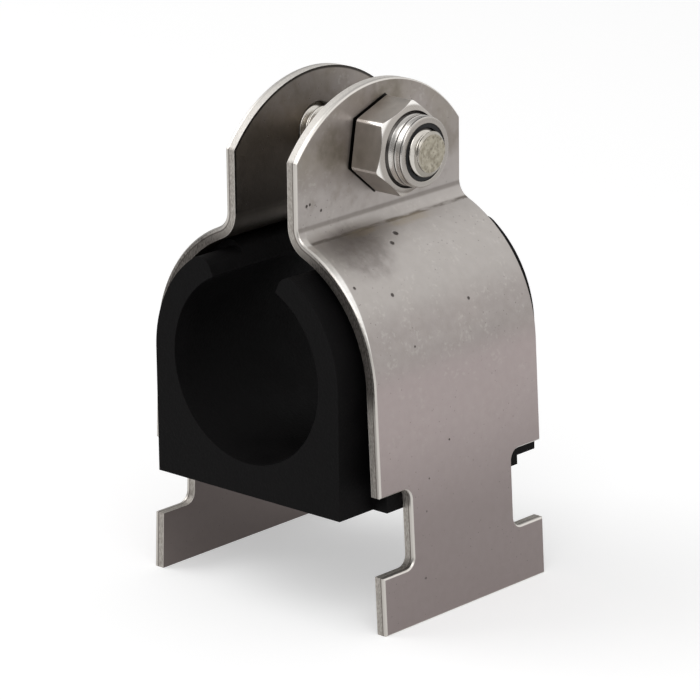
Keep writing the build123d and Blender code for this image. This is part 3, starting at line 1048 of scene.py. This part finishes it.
def bolt_piece():
    """The bolt: its head, and in place of the disk at the head's foot a flat ring and the thread."""
    foot = bolt_low.x + HEAD_HEIGHT
    bm = bmesh.new()
    turned(bm, head_profile, foot, HEAD_TURN)
    bmesh.ops.remove_doubles(bm, verts=bm.verts, dist=MERGE)
    bmesh.ops.delete(bm, geom=[face for face in bm.faces if lies_at(face, foot)], context="FACES")
    threaded_stem(bm, foot, bolt_high.x)
    bmesh.ops.triangle_fill(bm, edges=[edge for edge in bm.edges if edge.is_boundary], normal=(1, 0, 0))
    bmesh.ops.delete(bm, geom=[edge for edge in bm.edges if edge.is_wire], context="EDGES")
    # end faces past here get painted shade
    shade_above = bolt_high.x - TIP_CHAMFER - 0.05
    # painted shade on the thread inside the nut's rim
    recess = (nut_low.x + NUT_HEX_HEIGHT, nut_high.x - 0.1, 0.0, RIM_RADIUS)
    steel = fastener_steel("bolt_steel", HEAD_TURN, BOLT_BRIGHT, BOLT_DULL, shade_above, (recess,),
                           tip_x=bolt_high.x - 0.02)
    even_normals(piece_from(bm, "threaded_bolt", steel, "bolt"))


strap_steel = StrapSteel().material
dress("strap_nut_side", strap_steel)
dress("strap_head_side", strap_steel)
dress("lock_nut_insert", nylon())
cushion_piece()
lock_nut_piece()
bolt_piece()


# Floor, light and camera


def background(tree, strength):
    """White background light of a strength, which is a number or a field."""
    node = tree.nodes.new("ShaderNodeBackground")
    node.inputs["Color"].default_value = (1.0, 1.0, 1.0, 1.0)
    if isinstance(strength, Field):
        tree.links.new(strength.socket, node.inputs["Strength"])
    else:
        node.inputs["Strength"].default_value = strength
    return node.outputs[0]


def mixed(tree, share, first, second):
    """The second shader for a share of 1, and the first for 0."""
    node = tree.nodes.new("ShaderNodeMixShader")
    tree.links.new(share.socket, node.inputs[0])
    tree.links.new(first, node.inputs[1])
    tree.links.new(second, node.inputs[2])
    return node.outputs[0]


def studio_world():
    """White behind the object. Metal sees it white at the back, on the right and overhead, and dimmer
    on the side that the camera stands on. The light that falls on the object is even."""
    world = bpy.data.worlds.new("studio")
    bpy.context.scene.world = world
    world.use_nodes = True
    tree = world.node_tree
    rays = tree.nodes.new("ShaderNodeLightPath")
    place_in_room = tree.nodes.new("ShaderNodeTexCoord")
    split = tree.nodes.new("ShaderNodeSeparateXYZ")
    tree.links.new(place_in_room.outputs["Generated"], split.inputs[0])
    x, y, z = [Field(tree, socket) for socket in split.outputs]
    backdrop_x, backdrop_y = BACKDROP_SIDE
    walls = (x * backdrop_x + y * backdrop_y).ramp(-0.05, 0.55, DIM_WALL, 1.0)
    ceiling = z.ramp(0.35, 0.95, 0.0, CEILING_GLOW)
    in_metal = Field(tree, rays.outputs["Is Glossy Ray"])
    in_metal = in_metal.most(Field(tree, rays.outputs["Is Transmission Ray"]))
    lit = mixed(tree, in_metal, background(tree, SOFT_LIGHT), background(tree, walls + ceiling))
    seen = mixed(tree, Field(tree, rays.outputs["Is Camera Ray"]), lit, background(tree, 1.0))
    tree.links.new(seen, tree.nodes["World Output"].inputs["Surface"])


def floor_paper():
    """Pale paper that keeps its shadow. The camera sees it near white, and the metal somewhat dimmer."""
    material = bpy.data.materials.new("floor_paper")
    material.use_nodes = True
    tree = material.node_tree
    paper = tree.nodes["Principled BSDF"]
    paper.inputs["Base Color"].default_value = (PAPER_GREY, PAPER_GREY, PAPER_GREY, 1.0)
    paper.inputs["Roughness"].default_value = PAPER_ROUGHNESS
    paper.inputs["Specular IOR Level"].default_value = PAPER_SPECULAR
    glow = tree.nodes.new("ShaderNodeEmission")
    rays = tree.nodes.new("ShaderNodeLightPath")
    seen = Field(tree, rays.outputs["Is Camera Ray"]) * FLOOR_GLOW
    seen = seen + Field(tree, rays.outputs["Is Glossy Ray"]) * FLOOR_GLOW_IN_METAL
    tree.links.new(seen.socket, glow.inputs["Strength"])
    both = tree.nodes.new("ShaderNodeAddShader")
    tree.links.new(paper.outputs[0], both.inputs[0])
    tree.links.new(glow.outputs[0], both.inputs[1])
    tree.links.new(both.outputs[0], tree.nodes["Material Output"].inputs["Surface"])
    return material


def studio_floor():
    """A wide sheet of the paper under the object."""
    mesh = bpy.data.meshes.new("floor")
    height = solid_low.z / MM
    corners = [(-FLOOR_HALF, -FLOOR_HALF), (FLOOR_HALF, -FLOOR_HALF), (FLOOR_HALF, FLOOR_HALF),
               (-FLOOR_HALF, FLOOR_HALF)]
    mesh.from_pydata([place((x, y, height)) for x, y in corners], [], [(0, 1, 2, 3)])
    mesh.materials.append(floor_paper())
    sheet = bpy.data.objects.new("floor", mesh)
    bpy.context.scene.collection.objects.link(sheet)


def softbox(name, side, brightness):
    """A square lamp on a side of the object, aimed at it. Its brightness is 1 where it looks white."""
    light = bpy.data.lights.new(name, "AREA")
    light.shape = "SQUARE"
    light.size = LAMP_SIZE * MM
    light.energy = brightness * pi * light.size**2
    lamp = bpy.data.objects.new(name, light)
    lamp.location = Vector(side).normalized() * LAMP_DISTANCE * MM
    lamp.rotation_euler = (-lamp.location).to_track_quat("-Z", "Y").to_euler()
    lamp.visible_camera = False
    bpy.context.scene.collection.objects.link(lamp)


def camera():
    """A long lens that looks at the nut's side from the front and a little above."""
    lens = bpy.data.cameras.new("camera")
    lens.lens = CAMERA_LENS
    lens.sensor_width = SENSOR_WIDTH
    lens.clip_start = 10 * MM
    lens.clip_end = 10 * FLOOR_HALF * MM
    eye = bpy.data.objects.new("camera", lens)
    looking = (place(CAMERA_AIM) - place(CAMERA_PLACE)).to_track_quat("-Z", "Y").to_matrix().to_4x4()
    roll = Matrix.Rotation(radians(CAMERA_ROLL), 4, "Z")
    eye.matrix_world = Matrix.Translation(place(CAMERA_PLACE)) @ looking @ roll
    bpy.context.scene.collection.objects.link(eye)
    bpy.context.scene.camera = eye


studio_world()
studio_floor()
softbox("key", KEY_SIDE, KEY_BRIGHTNESS)
softbox("front", FRONT_SIDE, FRONT_BRIGHTNESS)
camera()
bpy.context.scene.view_settings.view_transform = "Standard"
